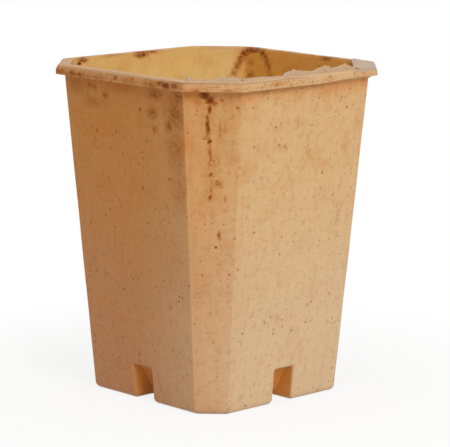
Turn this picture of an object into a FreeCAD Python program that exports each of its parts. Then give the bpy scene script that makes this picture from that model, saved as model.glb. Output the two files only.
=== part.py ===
import FreeCAD, Part
import math
import os

# Square tapered seedling pot with cut corners, moulded in one shot from fibre-filled bioplastic.
# It is divided at its own features into solids that meet face to face.
# Millimetres, +Z up, origin at the middle of the base, side walls facing -Y, +X, +Y and -X.
os.makedirs("parts", exist_ok=True)

# Whole pot
pot_height = 100.0
rim_width = 80.0
base_width = 58.5

# Walls: a cut is what a corner facet takes off the end of each side wall
wall = 1.8
top_corner_cut = 12.1
base_corner_cut = 7.0
outer_edge_radius = 0.6
inner_edge_radius = 1.5
base_edge_radius = 1.9
seam_flat = 0.4

# Rim
lip_height = 2.8
lip_overhang = 1.9
rim_corner_cut = 12.4
lip_edge_radius = 0.5

# Drain arches: the notch in the middle of each side, with its lining
arch_wall = 1.8
arch_brow = 0.5
notch_width = 7.9
notch_height = 10.9
notch_foot_depth = 7.2
notch_roof_depth = 3.3
notch_bend_radius = 4.5
notch_mouth_radius = 0.8

# Floor: a channel under the raised cross joins the four notches
channel_depth = 2.2
floor_thickness = 1.8
hub_radius = 10.0
hub_hole_diameter = 8.0
slot_length = 6.5
slot_side_strip = 1.45
slot_end_strip = 2.37

# Moulding flash left standing on the rim's inner edge
flash_thickness = 1.1
flash_height = 2.0
flash_skin = 0.45
web_reach = 3.1

# One overrun serves every cutter
overrun = 5.0

# Steps in the quarter rounds of the base and the lip
round_steps = 4

side_names = ("front", "right", "back", "left")
corner_names = ("front_right", "back_right", "back_left", "front_left")
quarter_turn = 90.0
full_turn = 360.0
half_corner_turn = math.radians(22.5)

Vector = FreeCAD.Vector
upright = Vector(0, 0, 1)
pot_centre = Vector(0, 0, 0)
wall_top = pot_height - lip_height
floor_top = channel_depth + floor_thickness
arch_half_width = notch_width / 2 + arch_wall
arch_height = notch_height + arch_wall + arch_brow

# A facet slants at 45 degrees, so moving every face in by one length shortens each cut by this share
facet_share = 2 - math.sqrt(2)

# A corner piece holds its two soft edges whole, and a short flat stretch past them
turn_setback = inner_edge_radius * math.tan(half_corner_turn)
seam_setback = wall * math.tan(half_corner_turn) + turn_setback + seam_flat


def outer_half(z):
    """Half the width across the side walls' outer faces at a height."""
    base_half = base_width / 2
    top_half = rim_width / 2 - lip_overhang
    return base_half + (top_half - base_half) * z / wall_top


def outer_cut(z):
    """What a corner facet takes off each side wall at a height."""
    return base_corner_cut + (top_corner_cut - base_corner_cut) * z / wall_top


def octagon(half, cut, corner_radius, z):
    """Closed outline of a square with cut corners, all its turns rounded."""
    short = half - cut
    corners = [Vector(half, -short, z), Vector(half, short, z), Vector(short, half, z), Vector(-short, half, z)]
    corners += [Vector(-half, short, z), Vector(-half, -short, z), Vector(-short, -half, z), Vector(short, -half, z)]
    setback = corner_radius * math.tan(half_corner_turn)
    depth = corner_radius / math.cos(half_corner_turn) - corner_radius
    turns = []
    for index, corner in enumerate(corners):
        backward = (corners[index - 1] - corner).normalize()
        forward = (corners[(index + 1) % len(corners)] - corner).normalize()
        inward = (backward + forward).normalize()
        turns.append((corner + backward * setback, corner + inward * depth, corner + forward * setback))
    edges = []
    for index, turn in enumerate(turns):
        edges.append(Part.Arc(*turn).toShape())
        edges.append(Part.makeLine(turn[2], turns[(index + 1) % len(turns)][0]))
    return Part.Wire(edges)


def outer_outline(z, inset):
    """Outline of the outer faces at a height, drawn in by an inset."""
    return octagon(outer_half(z) - inset, outer_cut(z) - inset * facet_share, outer_edge_radius, z)


def inner_outline(z):
    """Outline of the space inside the walls at a height."""
    return octagon(outer_half(z) - wall, outer_cut(z) - wall * facet_share, inner_edge_radius, z)


def side_slab(width, profile):
    """Solid of a closed profile in the plane of depth and height, as wide as asked, on the front side.

    A profile point is (distance from the pot's axis, height), and an arc is three such points.
    """
    def place(point):
        return Vector(-width / 2, -point[0], point[1])

    edges = []
    for start, end in zip(profile, profile[1:] + profile[:1]):
        if isinstance(start[0], tuple):
            edges.append(Part.Arc(place(start[0]), place(start[1]), place(start[2])).toShape())
        first = start[-1] if isinstance(start[0], tuple) else start
        last = end[0] if isinstance(end[0], tuple) else end
        edges.append(Part.makeLine(place(first), place(last)))
    return Part.Face(Part.Wire(edges)).extrude(Vector(width, 0, 0))


def block(low, high):
    """Box between two corners."""
    size = high - low
    return Part.makeBox(size.x, size.y, size.z, low)


def save(name, shape):
    """One closed solid, its split faces joined, to its own file."""
    joined = shape.removeSplitter()
    state = "valid" if joined.isValid() else "INVALID"
    print(name, len(joined.Solids), "solid", round(joined.Volume, 1), "mm3", len(joined.Faces), "faces", state)
    solid = joined.Solids[0]
    solid.exportStep("parts/" + name + ".step")
    return solid


def save_four(names, prefix, shape):
    """The same solid at each of the four quarter turns."""
    solid = save(prefix + "_" + names[0], shape)
    for index, name in enumerate(names[1:], 1):
        turned = solid.copy()
        turned.rotate(pot_centre, upright, quarter_turn * index)
        turned.exportStep("parts/" + prefix + "_" + name + ".step")


# Outer body with its soft base edge, and the space inside the walls
outlines = []
for step in range(round_steps + 1):
    swing = math.pi / 2 * step / round_steps
    rise = base_edge_radius * (1 - math.cos(swing))
    outlines.append(outer_outline(rise, base_edge_radius * (1 - math.sin(swing))))
outlines.append(outer_outline(pot_height, 0))
outer_body = Part.makeLoft(outlines, True, True)
inner_space = Part.makeLoft([inner_outline(-overrun), inner_outline(pot_height + overrun)], True, True)
shell = outer_body.cut(inner_space)

# Rim collar: lip with a soft upper edge, and the top of the wall behind it
rim_half = rim_width / 2
lip_outlines = [octagon(rim_half, rim_corner_cut, outer_edge_radius, wall_top)]
for step in range(round_steps + 1):
    swing = math.pi / 2 * step / round_steps
    inset = lip_edge_radius * (1 - math.cos(swing))
    z = pot_height - lip_edge_radius * (1 - math.sin(swing))
    lip_outlines.append(octagon(rim_half - inset, rim_corner_cut - inset * facet_share, outer_edge_radius, z))
rim_collar = Part.makeLoft(lip_outlines, True, True).cut(inner_space)
save("rim_collar", rim_collar)


def wall_zone_outline(z):
    """Plan of the front side wall's flat stretch at a height, between the soft corner edges."""
    reach = outer_half(z) - outer_cut(z) - seam_setback
    near = outer_half(z) - wall - overrun
    far = outer_half(z) + overrun
    points = [Vector(-reach, -far, z), Vector(reach, -far, z), Vector(reach, -near, z), Vector(-reach, -near, z)]
    return Part.makePolygon(points + points[:1])


# Side walls and corner walls, from the top of the drain arches to the underside of the lip
wall_zone = Part.makeLoft([wall_zone_outline(arch_height), wall_zone_outline(wall_top)], True, True)
save_four(side_names, "wall", shell.common(wall_zone))

beyond = rim_half + overrun
corner_zone = block(Vector(0, -beyond, arch_height), Vector(beyond, 0, wall_top))
side_zone = wall_zone.copy()
side_zone.rotate(pot_centre, upright, quarter_turn)
save_four(corner_names, "corner", shell.common(corner_zone).cut(wall_zone).cut(side_zone))

# Slope of the notch's roof: a straight ramp that bends over into a level roof at the face
ramp_foot = (outer_half(channel_depth) - notch_foot_depth, channel_depth)
ramp_top = (outer_half(notch_height) - notch_roof_depth, notch_height)
ramp_angle = math.atan2(ramp_top[1] - ramp_foot[1], ramp_top[0] - ramp_foot[0])
bend_centre_r = ramp_top[0] + notch_bend_radius * math.tan(ramp_angle / 2)
bend_centre_z = notch_height - notch_bend_radius


def bend(offset):
    """Start, middle and end of the roof's bend, moved out from the notch by an offset."""
    radius = notch_bend_radius + offset
    angles = (math.pi / 2, math.pi / 2 + ramp_angle / 2, math.pi / 2 + ramp_angle)
    return tuple((bend_centre_r + radius * math.cos(a), bend_centre_z + radius * math.sin(a)) for a in angles)


def ramp_point(offset, z):
    """Point of the ramp at a height, moved out from the notch by an offset."""
    start_r = ramp_foot[0] - offset * math.sin(ramp_angle)
    start_z = ramp_foot[1] + offset * math.cos(ramp_angle)
    return (start_r + (z - start_z) / math.tan(ramp_angle), z)


# Where the lining's ramp meets the floor's upper face, the arch ends and the floor begins
arm_end = ramp_point(arch_wall, floor_top)[0]
far_out = outer_half(arch_height) + overrun

lining_profile = [
    (far_out, 0),
    (far_out, notch_height + arch_wall),
    bend(arch_wall),
    (arm_end, floor_top),
    (arm_end, 0),
]
mouth_r = outer_half(notch_height + notch_mouth_radius)
mouth_centre = (mouth_r - notch_mouth_radius, notch_height + notch_mouth_radius)
mouth_turn = notch_mouth_radius * math.sqrt(0.5)
roof_mouth = (
    (mouth_r, mouth_centre[1]),
    (mouth_centre[0] + mouth_turn, mouth_centre[1] - mouth_turn),
    (mouth_centre[0], notch_height),
)
notch_profile = [
    (far_out, -overrun),
    (far_out, mouth_centre[1]),
    roof_mouth,
    bend(0),
    ramp_foot,
    (arm_end - overrun, channel_depth),
    (arm_end - overrun, -overrun),
]


def mouth_outline(z):
    """Plan of the notch's mouth at a height, its two upright edges rounded over."""
    half = notch_width / 2
    face = outer_half(z)
    inside = face - notch_mouth_radius
    lip = half + notch_mouth_radius
    turn_u = lip - mouth_turn
    turn_r = inside + mouth_turn
    edges = [
        Part.makeLine(Vector(-half, -inside, z), Vector(half, -inside, z)),
        Part.Arc(Vector(half, -inside, z), Vector(turn_u, -turn_r, z), Vector(lip, -face, z)).toShape(),
        Part.makeLine(Vector(lip, -face, z), Vector(lip, -far_out, z)),
        Part.makeLine(Vector(lip, -far_out, z), Vector(-lip, -far_out, z)),
        Part.makeLine(Vector(-lip, -far_out, z), Vector(-lip, -face, z)),
        Part.Arc(Vector(-lip, -face, z), Vector(-turn_u, -turn_r, z), Vector(-half, -inside, z)).toShape(),
    ]
    return Part.Wire(edges)


def bell_face(half):
    """Half the outline of a channel where it widens to the ground, with edges as soft as the base's."""
    reach = half + base_edge_radius
    turn = base_edge_radius * (1 - math.sqrt(0.5))
    top = Vector(half, 0, base_edge_radius)
    bottom = Vector(reach, 0, 0)
    edges = [Part.Arc(top, Vector(half + turn, 0, turn), bottom).toShape()]
    points = [bottom, Vector(reach, 0, -overrun), Vector(0, 0, -overrun), Vector(0, 0, base_edge_radius), top]
    for start, end in zip(points, points[1:]):
        edges.append(Part.makeLine(start, end))
    return Part.Face(Part.Wire(edges))


def channel_bell(low_y, high_y):
    """The widening foot of a channel that runs along Y."""
    side = bell_face(notch_width / 2).extrude(Vector(0, high_y - low_y, 0))
    side.translate(Vector(0, low_y, 0))
    return side.fuse(side.mirror(pot_centre, Vector(1, 0, 0)))


# Drain arch: a frame of the side wall round the notch, with the lining behind it
notch = side_slab(notch_width, notch_profile)
notch = notch.fuse(Part.makeLoft([mouth_outline(-overrun), mouth_outline(notch_height)], True, True))
notch = notch.fuse(channel_bell(-far_out, -arm_end + overrun))
lining = outer_body.common(side_slab(2 * arch_half_width, lining_profile))
arch_zone = block(Vector(-arch_half_width, -beyond, 0), Vector(arch_half_width, -arm_end, arch_height))
arch = lining.fuse(shell.common(arch_zone)).cut(notch)
save_four(side_names, "drain_arch", arch)


def cross_plan(grow, low, high):
    """Two crossing strips and a round hub, as wide as the channel and grown all round."""
    half = notch_width / 2 + grow
    along_y = block(Vector(-half, -beyond, low), Vector(half, beyond, high))
    along_x = block(Vector(-beyond, -half, low), Vector(beyond, half, high))
    hub = Part.makeCylinder(hub_radius + grow, high - low, Vector(0, 0, low))
    return along_x.fuse(along_y).fuse(hub)


# Foot: corner tray with a pad on the ground, ribs along the channel, and the skirt of the walls
quadrant = block(Vector(0, -beyond, 0), Vector(beyond, 0, arch_height))
pad = outer_body.common(block(Vector(0, -beyond, 0), Vector(beyond, 0, floor_thickness)))
ribs = outer_body.common(cross_plan(arch_wall, 0, floor_top))
foot = shell.fuse(pad).fuse(ribs).common(quadrant)
foot = foot.cut(cross_plan(0, -overrun, arch_height + overrun))
foot = foot.cut(bell_face(hub_radius).revolve(pot_centre, upright, full_turn))
for index in range(2):
    zone = block(Vector(-arch_half_width, -beyond, -overrun), Vector(arch_half_width, -arm_end, beyond))
    for cutter in (zone, channel_bell(-beyond, beyond)):
        cutter.rotate(pot_centre, upright, quarter_turn * index)
        foot = foot.cut(cutter)
save_four(corner_names, "foot", foot)

# Floor cross: the raised strips over the channel, with a drain hole in the hub and a slot in each arm
inside_arches = block(Vector(-arm_end, -arm_end, channel_depth), Vector(arm_end, arm_end, floor_top))
floor_cross = cross_plan(0, channel_depth, floor_top).common(inside_arches)
slot_round = notch_width / 2 - slot_side_strip
slot_outer = arm_end - slot_end_strip - slot_round
slot_inner = slot_outer - slot_length + 2 * slot_round
slot = block(Vector(-slot_round, -slot_outer, 0), Vector(slot_round, -slot_inner, floor_top + overrun))
for distance in (slot_inner, slot_outer):
    slot = slot.fuse(Part.makeCylinder(slot_round, floor_top + overrun, Vector(0, -distance, 0)))
floor_cross = floor_cross.cut(Part.makeCylinder(hub_hole_diameter / 2, floor_top + overrun))
for index in range(4):
    turned = slot.copy()
    turned.rotate(pot_centre, upright, quarter_turn * index)
    floor_cross = floor_cross.cut(turned)
save("floor_cross", floor_cross)

# Flash: each crest point is a share of the run along the rim's inner edge and a share of the height
mouth_half = outer_half(pot_height) - wall
mouth_short = mouth_half - (outer_cut(pot_height) - wall * facet_share)
right_crest_shares = [
    (0.0, 0.25), (0.08, 0.36), (0.16, 0.3), (0.25, 0.18), (0.325, 0.16), (0.345, 0.74), (0.374, 0.92),
    (0.4, 0.64), (0.42, 0.7), (0.474, 0.58), (0.56, 0.48), (0.62, 0.56), (0.67, 0.9), (0.715, 0.8),
    (0.735, 0.35), (0.767, 0.5), (0.82, 0.82), (0.845, 1.0), (0.88, 0.66), (0.925, 0.25), (1.0, 0.22),
]
front_crest_shares = [(0.0, 0.2), (0.3, 0.28), (0.52, 0.3), (0.66, 0.5), (0.8, 0.62), (0.92, 0.6), (1.0, 0.42)]


def crest(start, end, outward, shares):
    """Thin ragged fin that stands on the rim's top between two points of its inner edge."""
    along = end - start
    points = [start]
    for place, rise in shares:
        points.append(start + along * place + upright * (flash_height * rise))
    points.append(end)
    return Part.Face(Part.makePolygon(points + points[:1])).extrude(outward * flash_thickness)


# The flash starts past the rounded turns of the inner edge, so that all of it stands on the rim
right_low = Vector(mouth_half, -mouth_short + turn_setback, pot_height)
right_high = Vector(mouth_half, mouth_short - turn_setback, pot_height)
save("flash_right", crest(right_low, right_high, Vector(1, 0, 0), right_crest_shares))

facet_along = Vector(1, 1, 0).normalize()
facet_low = Vector(mouth_short, -mouth_half, pot_height) + facet_along * turn_setback
facet_high = Vector(mouth_half, -mouth_short, pot_height) - facet_along * turn_setback
save("flash_front", crest(facet_low, facet_high, Vector(1, -1, 0).normalize(), front_crest_shares))

# Web: a thin sheet across the back right corner of the mouth, lapped onto the rim's top
lap = flash_thickness * facet_share
web_low = mouth_short - web_reach * math.sqrt(2)
lap_line = mouth_half + flash_thickness
web_points = [
    Vector(mouth_half, web_low, pot_height),
    right_high,
    Vector(lap_line, right_high.y, pot_height),
    Vector(lap_line, mouth_short + lap, pot_height),
    Vector(mouth_short + lap, lap_line, pot_height),
    Vector(web_low, lap_line, pot_height),
    Vector(web_low, mouth_half, pot_height),
]
web = Part.Face(Part.makePolygon(web_points + web_points[:1])).extrude(upright * flash_skin)
save("flash_web", web)
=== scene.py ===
import math

import bmesh
import bpy
from mathutils import Matrix, Vector, noise


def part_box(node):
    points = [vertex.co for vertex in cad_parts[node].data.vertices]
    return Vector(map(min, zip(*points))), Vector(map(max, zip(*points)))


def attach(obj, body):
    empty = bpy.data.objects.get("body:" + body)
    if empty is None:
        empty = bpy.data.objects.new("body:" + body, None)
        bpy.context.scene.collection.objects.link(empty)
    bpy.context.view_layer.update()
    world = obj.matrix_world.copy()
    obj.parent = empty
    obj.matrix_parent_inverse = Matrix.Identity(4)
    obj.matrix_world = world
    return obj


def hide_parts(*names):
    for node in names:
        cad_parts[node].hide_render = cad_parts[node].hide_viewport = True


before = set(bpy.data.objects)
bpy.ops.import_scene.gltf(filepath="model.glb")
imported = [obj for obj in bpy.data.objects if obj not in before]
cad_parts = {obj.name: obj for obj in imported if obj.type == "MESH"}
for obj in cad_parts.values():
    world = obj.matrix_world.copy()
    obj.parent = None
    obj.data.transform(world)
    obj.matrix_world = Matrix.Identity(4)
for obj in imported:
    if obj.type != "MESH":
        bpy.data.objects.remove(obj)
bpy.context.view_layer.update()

mm = 0.001

# Camera: a long lens a little above the rim, looking down on the front right corner of the pot,
# level to within half a degree.
camera_data = bpy.data.cameras.new("camera")
camera_data.lens = 195.0
camera_data.sensor_width = 36.0
camera = bpy.data.objects.new("camera", camera_data)
bpy.context.scene.collection.objects.link(camera)
camera_place = Vector((531.06, -504.08, 186.0)) * mm
camera_right = Vector((0.69012, 0.72366, 0.00728))
camera_up = Vector((-0.1364, 0.12019, 0.98334))
camera_back = Vector((0.71073, -0.67961, 0.18165))
camera_turn = Matrix((camera_right, camera_up, camera_back)).transposed().to_4x4()
camera.matrix_world = Matrix.Translation(camera_place) @ camera_turn
bpy.context.scene.camera = camera
bpy.context.scene.view_settings.view_transform = "Standard"


# Studio: a pale floor that fades to white, a white surround and two soft lamps.
# The key lamp stands to the right of the camera, so the pot's right side is the bright one.
class Shade:
    """A socket of a material's nodes: arithmetic adds Math nodes, and node() adds any other node."""

    def __init__(self, tree, socket=None):
        self.tree = tree
        self.socket = socket

    def node(self, kind, settings, values, output=0):
        made = self.tree.nodes.new("ShaderNode" + kind)
        for name, value in settings.items():
            setattr(made, name, value)
        for name, value in values.items():
            if isinstance(value, Shade):
                self.tree.links.new(value.socket, made.inputs[name])
            else:
                made.inputs[name].default_value = value
        return Shade(self.tree, made.outputs[output]) if made.outputs else None

    def also(self, output):
        return Shade(self.tree, self.socket.node.outputs[output])

    def math(self, operation, *operands):
        return self.node("Math", {"operation": operation}, dict(enumerate(operands)))

    def __add__(self, other):
        return self.math("ADD", self, other)

    def __sub__(self, other):
        return self.math("SUBTRACT", self, other)

    def __rsub__(self, other):
        return self.math("SUBTRACT", other, self)

    def __mul__(self, other):
        return self.math("MULTIPLY", self, other)

    def __truediv__(self, other):
        return self.math("DIVIDE", self, other)

    __radd__ = __add__
    __rmul__ = __mul__


def seen_directly(start):
    """1 for what is seen straight, in a reflection or through a clear piece, and 0 for light on the pot."""
    path = start.node("LightPath", {}, {}, "Is Camera Ray")
    return path.math("MAXIMUM", path, path.also("Is Glossy Ray") + path.also("Is Transmission Ray"))


def fade(value, low, high):
    """Smooth step from 0 at low to 1 at high."""
    limits = {"Value": value, "From Min": low, "From Max": high}
    return value.node("MapRange", {"interpolation_type": "SMOOTHSTEP"}, limits)


def new_material(name):
    """A material without nodes, the start of its values, and the place on its object."""
    made = bpy.data.materials.new(name)
    made.use_nodes = True
    made.node_tree.nodes.clear()
    start = Shade(made.node_tree)
    return made, start, start.node("TexCoord", {}, {}, "Object")


surround_light = 0.47
world = bpy.data.worlds.new("surround")
world.use_nodes = True
bpy.context.scene.world = world
world.node_tree.nodes.clear()
surround = Shade(world.node_tree)
surround_strength = seen_directly(surround) * (1 - surround_light) + surround_light
surround_white = {"Color": (1.0, 1.0, 1.0, 1.0), "Strength": surround_strength}
surround.node("OutputWorld", {}, {"Surface": surround.node("Background", {}, surround_white)})

floor_size = 6.0
floor_mesh = bmesh.new()
bmesh.ops.create_grid(floor_mesh, x_segments=1, y_segments=1, size=floor_size / 2)
floor_data = bpy.data.meshes.new("floor")
floor_mesh.to_mesh(floor_data)
floor = bpy.data.objects.new("floor", floor_data)
bpy.context.scene.collection.objects.link(floor)

floor_albedo = 0.8
shadow_share = 0.15
shadow_reach = (0.05, 0.14)
floor_paint, ground, ground_place = new_material("pale_floor")
from_pot = ground.node("VectorMath", {"operation": "LENGTH"}, {0: ground_place}, 1)
near_pot = fade(from_pot, shadow_reach[1], shadow_reach[0])
whiteness = seen_directly(ground) * (1 - near_pot * shadow_share)
pale = ground.node("BsdfDiffuse", {}, {"Color": (floor_albedo, floor_albedo, floor_albedo, 1.0)})
white = ground.node("Emission", {}, {"Color": (1.0, 1.0, 1.0, 1.0), "Strength": 1.0})
ground_mix = ground.node("MixShader", {}, {0: whiteness, 1: pale, 2: white})
ground.node("OutputMaterial", {}, {"Surface": ground_mix})
floor_data.materials.append(floor_paint)


def lamp(name, place, aim, size, power, tint):
    """Square soft box that faces a point."""
    data = bpy.data.lights.new(name, "AREA")
    data.size = size
    data.energy = power
    data.color = tint
    made = bpy.data.objects.new(name, data)
    made.location = place
    made.rotation_mode = "QUATERNION"
    made.rotation_quaternion = (Vector(place) - Vector(aim)).to_track_quat("Z", "Y")
    bpy.context.scene.collection.objects.link(made)


pot_middle = (0.0, 0.0, 0.05)
lamp("key_lamp", place=(1.0, -0.25, 0.75), aim=pot_middle, size=0.5, power=7.7, tint=(1.0, 0.98, 0.95))
lamp("top_lamp", place=(0.1, -0.2, 1.2), aim=pot_middle, size=0.6, power=2.6, tint=(1.0, 1.0, 1.0))


# Corner feet: the four hollow trays that the pot stands on, with the lowest part of the walls.
# They are moulded of the pot's one compound, a tan bioplastic filled with ground plant fibre,
# with a soft edge on the ground and a rib along the drain channel.
def rgb(red, green, blue):
    """Colour given as 0 to 255 on a screen, as the shader's linear one."""
    parts = []
    for part in (red, green, blue):
        part = part / 255
        parts.append(part / 12.92 if part <= 0.04045 else ((part + 0.055) / 1.055) ** 2.4)
    return (*parts, 1.0)


def mixed(factor, first, second):
    """Colour between two others."""
    return factor.node("Mix", {"data_type": "RGBA"}, {0: factor, 6: first, 7: second}, 2)


def cloud(place, length, detail=2.0):
    """Soft noise with features of about a length, near one half on average."""
    return place.node("TexNoise", {}, {"Vector": place, "Scale": 1 / length, "Detail": detail})


def scaled(place, along, across, height):
    """The same place in a space where each direction is measured in its own unit."""
    unit = (1 / along, 1 / across, 1 / height)
    return place.node("VectorMath", {"operation": "MULTIPLY"}, {0: place, 1: unit})


def specks(place, spacing, radius, share, soft):
    """Mask of specks: one in a share of the cells of a loose pattern, each of its own size."""
    cell = place.node("TexVoronoi", {}, {"Vector": place, "Scale": 1 / spacing})
    lot = cell.also("Color").node("SeparateColor", {}, {"Color": cell.also("Color")})
    size = (lot.also("Green") * 0.7 + 0.3) * (radius / spacing)
    chosen = fade(lot, 1 - share, 1 - share + 0.02)
    return fade(size - cell, 0.0, soft / spacing) * chosen * (lot.also("Blue") * 0.7 + 0.3)


fibre_stretch = 4.5


def fibres(place, tilt, spacing, width, share):
    """Mask of short fibres that lie about one way: specks drawn out along one direction."""
    turned = place.node("VectorRotate", {"rotation_type": "EULER_XYZ"}, {"Vector": place, "Rotation": tilt})
    drawn_out = scaled(turned, 1.0, 1.0, fibre_stretch)
    return specks(drawn_out, spacing, width, share, soft=width * 0.6)


foot_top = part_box("foot_front_right")[1].z / mm
foot_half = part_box("foot_front_right")[1].x / mm
wall_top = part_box("wall_front")[1].z / mm
wall_half = -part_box("wall_front")[0].y / mm
wall = 1.8
# Width of the slanted corners, taken along a side, at the ground and at the top of the walls
base_cut = 7.0
top_cut = 12.1

# Painted light and shade: the shade side and light side colours are darker and paler copies of one compound,
# for the side the key lamp leaves in shade and the side it lights
shade_side_high = rgb(201, 134, 64)
shade_side_low = rgb(195, 137, 91)
light_side_high = rgb(212, 172, 120)
light_side_low = rgb(213, 182, 143)
lit_inside_straw = rgb(232, 199, 127)
shaded_inside_amber = rgb(222, 156, 57)
haze_and_shade_orange = rgb(200, 122, 46)
fibre_brown = rgb(124, 58, 14)
fleck_tan = rgb(208, 152, 90)
fleck_pale = rgb(230, 202, 162)

# Lengths of the compound's drifts of tone, clouds, flow streaks, mottling and grain
drift_length = 28.0
cloud_length = 7.0
streak_width, streak_stretch = 1.3, 14.0
mottle_length = 1.9
grain_length = 0.5


def reaches(axes):
    """How far out a place lies, measured square to the sides and square to the slanted corners."""
    east = axes.math("ABSOLUTE", axes)
    north = axes.math("ABSOLUTE", axes.also("Y"))
    slope = (top_cut - base_cut) / wall_top
    return axes.math("MAXIMUM", east, north), (east + north + axes.also("Z") * slope + base_cut * mm) * 0.5


def depth_inside(axes):
    """How far a place lies inside the outer faces of the sides and corners."""
    straight, slanted = reaches(axes)
    lean = (wall_half - foot_half) / (wall_top - foot_top)
    face = axes.also("Z") * lean + (foot_half - foot_top * lean) * mm
    return face - axes.math("MAXIMUM", straight, slanted)


def towards_back_right(axes):
    """How far a place lies towards the back right corner, where the colour is painted paler for the key
    lamp's light.
    """
    return axes * 0.69 + axes.also("Y") * 0.72


def at_back_wall(axes):
    """1 at the back wall and 0 in front of it."""
    return fade(axes.also("Y") + axes * 0.3, 24 * mm, 30 * mm)


def compound(name, marks=None):
    """The pot's compound, with the marks that belong to one piece."""
    made, start, place = new_material(name)
    axes = place.node("SeparateXYZ", {}, {"Vector": place})
    height = axes.also("Z")
    drift = cloud(place, drift_length * mm) - 0.5

    # Painted light and shade: paler on the right, which the key lamp lights, and browner on the left, which
    # lies in shade; and more orange towards the rim
    to_right = towards_back_right(axes) / (40 * mm) + drift * 0.5
    painted_light_share = fade(to_right, -0.65, 0.4)
    high = mixed(painted_light_share, shade_side_high, light_side_high)
    low = mixed(painted_light_share, shade_side_low, light_side_low)
    colour = mixed(fade(height + drift * (20 * mm), 5 * mm, 95 * mm), low, high)

    # A little more orange on the slanted corners
    straight, slanted = reaches(axes)
    inner = fade(depth_inside(axes), 0.6 * mm, 1.2 * mm)
    on_corner = fade(slanted - straight, 0.0, 0.5 * mm) * (1 - inner)
    colour = mixed(on_corner * 0.13, colour, haze_and_shade_orange)

    # Straw yellow on the inside of the walls, with the key lamp's light painted into it, and a darker amber
    # of painted shade on the inside of the back wall
    colour = mixed(inner * 0.85, colour, mixed(at_back_wall(axes), lit_inside_straw, shaded_inside_amber))

    # Painted shade in an orange band under the lip, orange clouds, flow streaks, mottling and grain
    # The band under the lip is painted shade, darker and more orange where the lip overhangs
    painted_shade_under_lip = fade(height + (cloud(place, 5 * mm) - 0.5) * (7 * mm), 91 * mm, 97.5 * mm)
    painted_shade_under_lip *= fade(height, 97.6 * mm, 97.1 * mm)
    colour = mixed(painted_shade_under_lip * (1 - inner) * 0.6, colour, haze_and_shade_orange)
    clouds = fade(cloud(place, cloud_length * mm, 4.0), 0.45, 0.75)
    clouds *= fade(height, 40 * mm, 92 * mm) * 0.4 + 0.2
    # The orange clouds are stronger on the side painted in shade
    colour = mixed(clouds * (1 - inner * 0.5) * (1.1 - painted_light_share * 0.4), colour, haze_and_shade_orange)
    near_mouth = fade(height + (cloud(place, 6 * mm, 3.0) - 0.5) * (12 * mm), 91 * mm, 99 * mm) * inner
    colour = mixed(near_mouth * 0.2, colour, haze_and_shade_orange)
    streaks = cloud(scaled(place, 1.0, 1.0, streak_stretch), streak_width * mm) - 0.5
    mottle = cloud(place, mottle_length * mm, 3.0) - 0.5
    grain = cloud(place, grain_length * mm, 2.0) - 0.5
    tone = (streaks * 0.35 + mottle * 0.7 + grain * 0.6) * (1 - inner * 0.4)
    colour = mixed(fade(tone, 0.0, 0.4) * 0.45, colour, fibre_brown)
    # The flecks, too, are paler on the side painted in light
    colour = mixed(fade(tone, 0.0, -0.4) * 0.34, colour, mixed(painted_light_share, fleck_tan, fleck_pale))

    # Ground fibre: fine dots, coarser dots, husks and short fibres
    dust = specks(place, spacing=0.8 * mm, radius=0.22 * mm, share=0.6, soft=0.15 * mm)
    dots = specks(place, spacing=1.4 * mm, radius=0.44 * mm, share=0.7, soft=0.26 * mm)
    husks = specks(place, spacing=1.9 * mm, radius=0.6 * mm, share=0.65, soft=0.35 * mm)
    strands = fibres(place, tilt=(0.5, 0.2, 0.3), spacing=0.9 * mm, width=0.17 * mm, share=0.35)
    crossing = fibres(place, tilt=(-0.8, 1.1, 0.4), spacing=1.1 * mm, width=0.17 * mm, share=0.35)
    dark = dots.math("MAXIMUM", dots * 0.46, husks * 0.78)
    dark = dark.math("MAXIMUM", dark, strands.math("MAXIMUM", strands, crossing) * 0.16)
    dark = dark.math("MAXIMUM", dark, dust * 0.25) * (1 - inner * 0.75)
    colour = mixed(dark, colour, fibre_brown)
    if marks:
        colour = marks(place, axes, colour)

    relief = mottle * 0.6 + grain * 0.8 - dark * 0.5
    shine = {"Base Color": colour, "Roughness": 0.46 + grain * 0.25, "Specular IOR Level": 0.16}
    shine |= {"Coat Weight": 0.03, "Coat Roughness": 0.3}
    shine["Normal"] = start.node("Bump", {}, {"Strength": 0.3, "Distance": 0.06 * mm, "Height": relief})
    finish = start.node("BsdfPrincipled", {}, shine)
    start.node("OutputMaterial", {}, {"Surface": finish})
    return made


weld = 0.002
crease = math.radians(34)
ripple = 0.09
ripple_length = 17.0
ripple_start, ripple_full = 4.0, 22.0


def eased(value, low, high):
    """Smooth step from 0 at low to 1 at high, for plain numbers."""
    share = min(max((value - low) / (high - low), 0.0), 1.0)
    return share * share * (3 - 2 * share)


def settled(point):
    """Where a point of the mould's cavity ends up on the cooled pot, a few hundredths of a millimetre off."""
    point = Vector(point)
    outward = Vector((point.x, point.y, 0.0))
    swell = ripple * eased(point.z, ripple_start, ripple_full) * noise.noise(point / ripple_length)
    return point + outward.normalized() * swell


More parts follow.
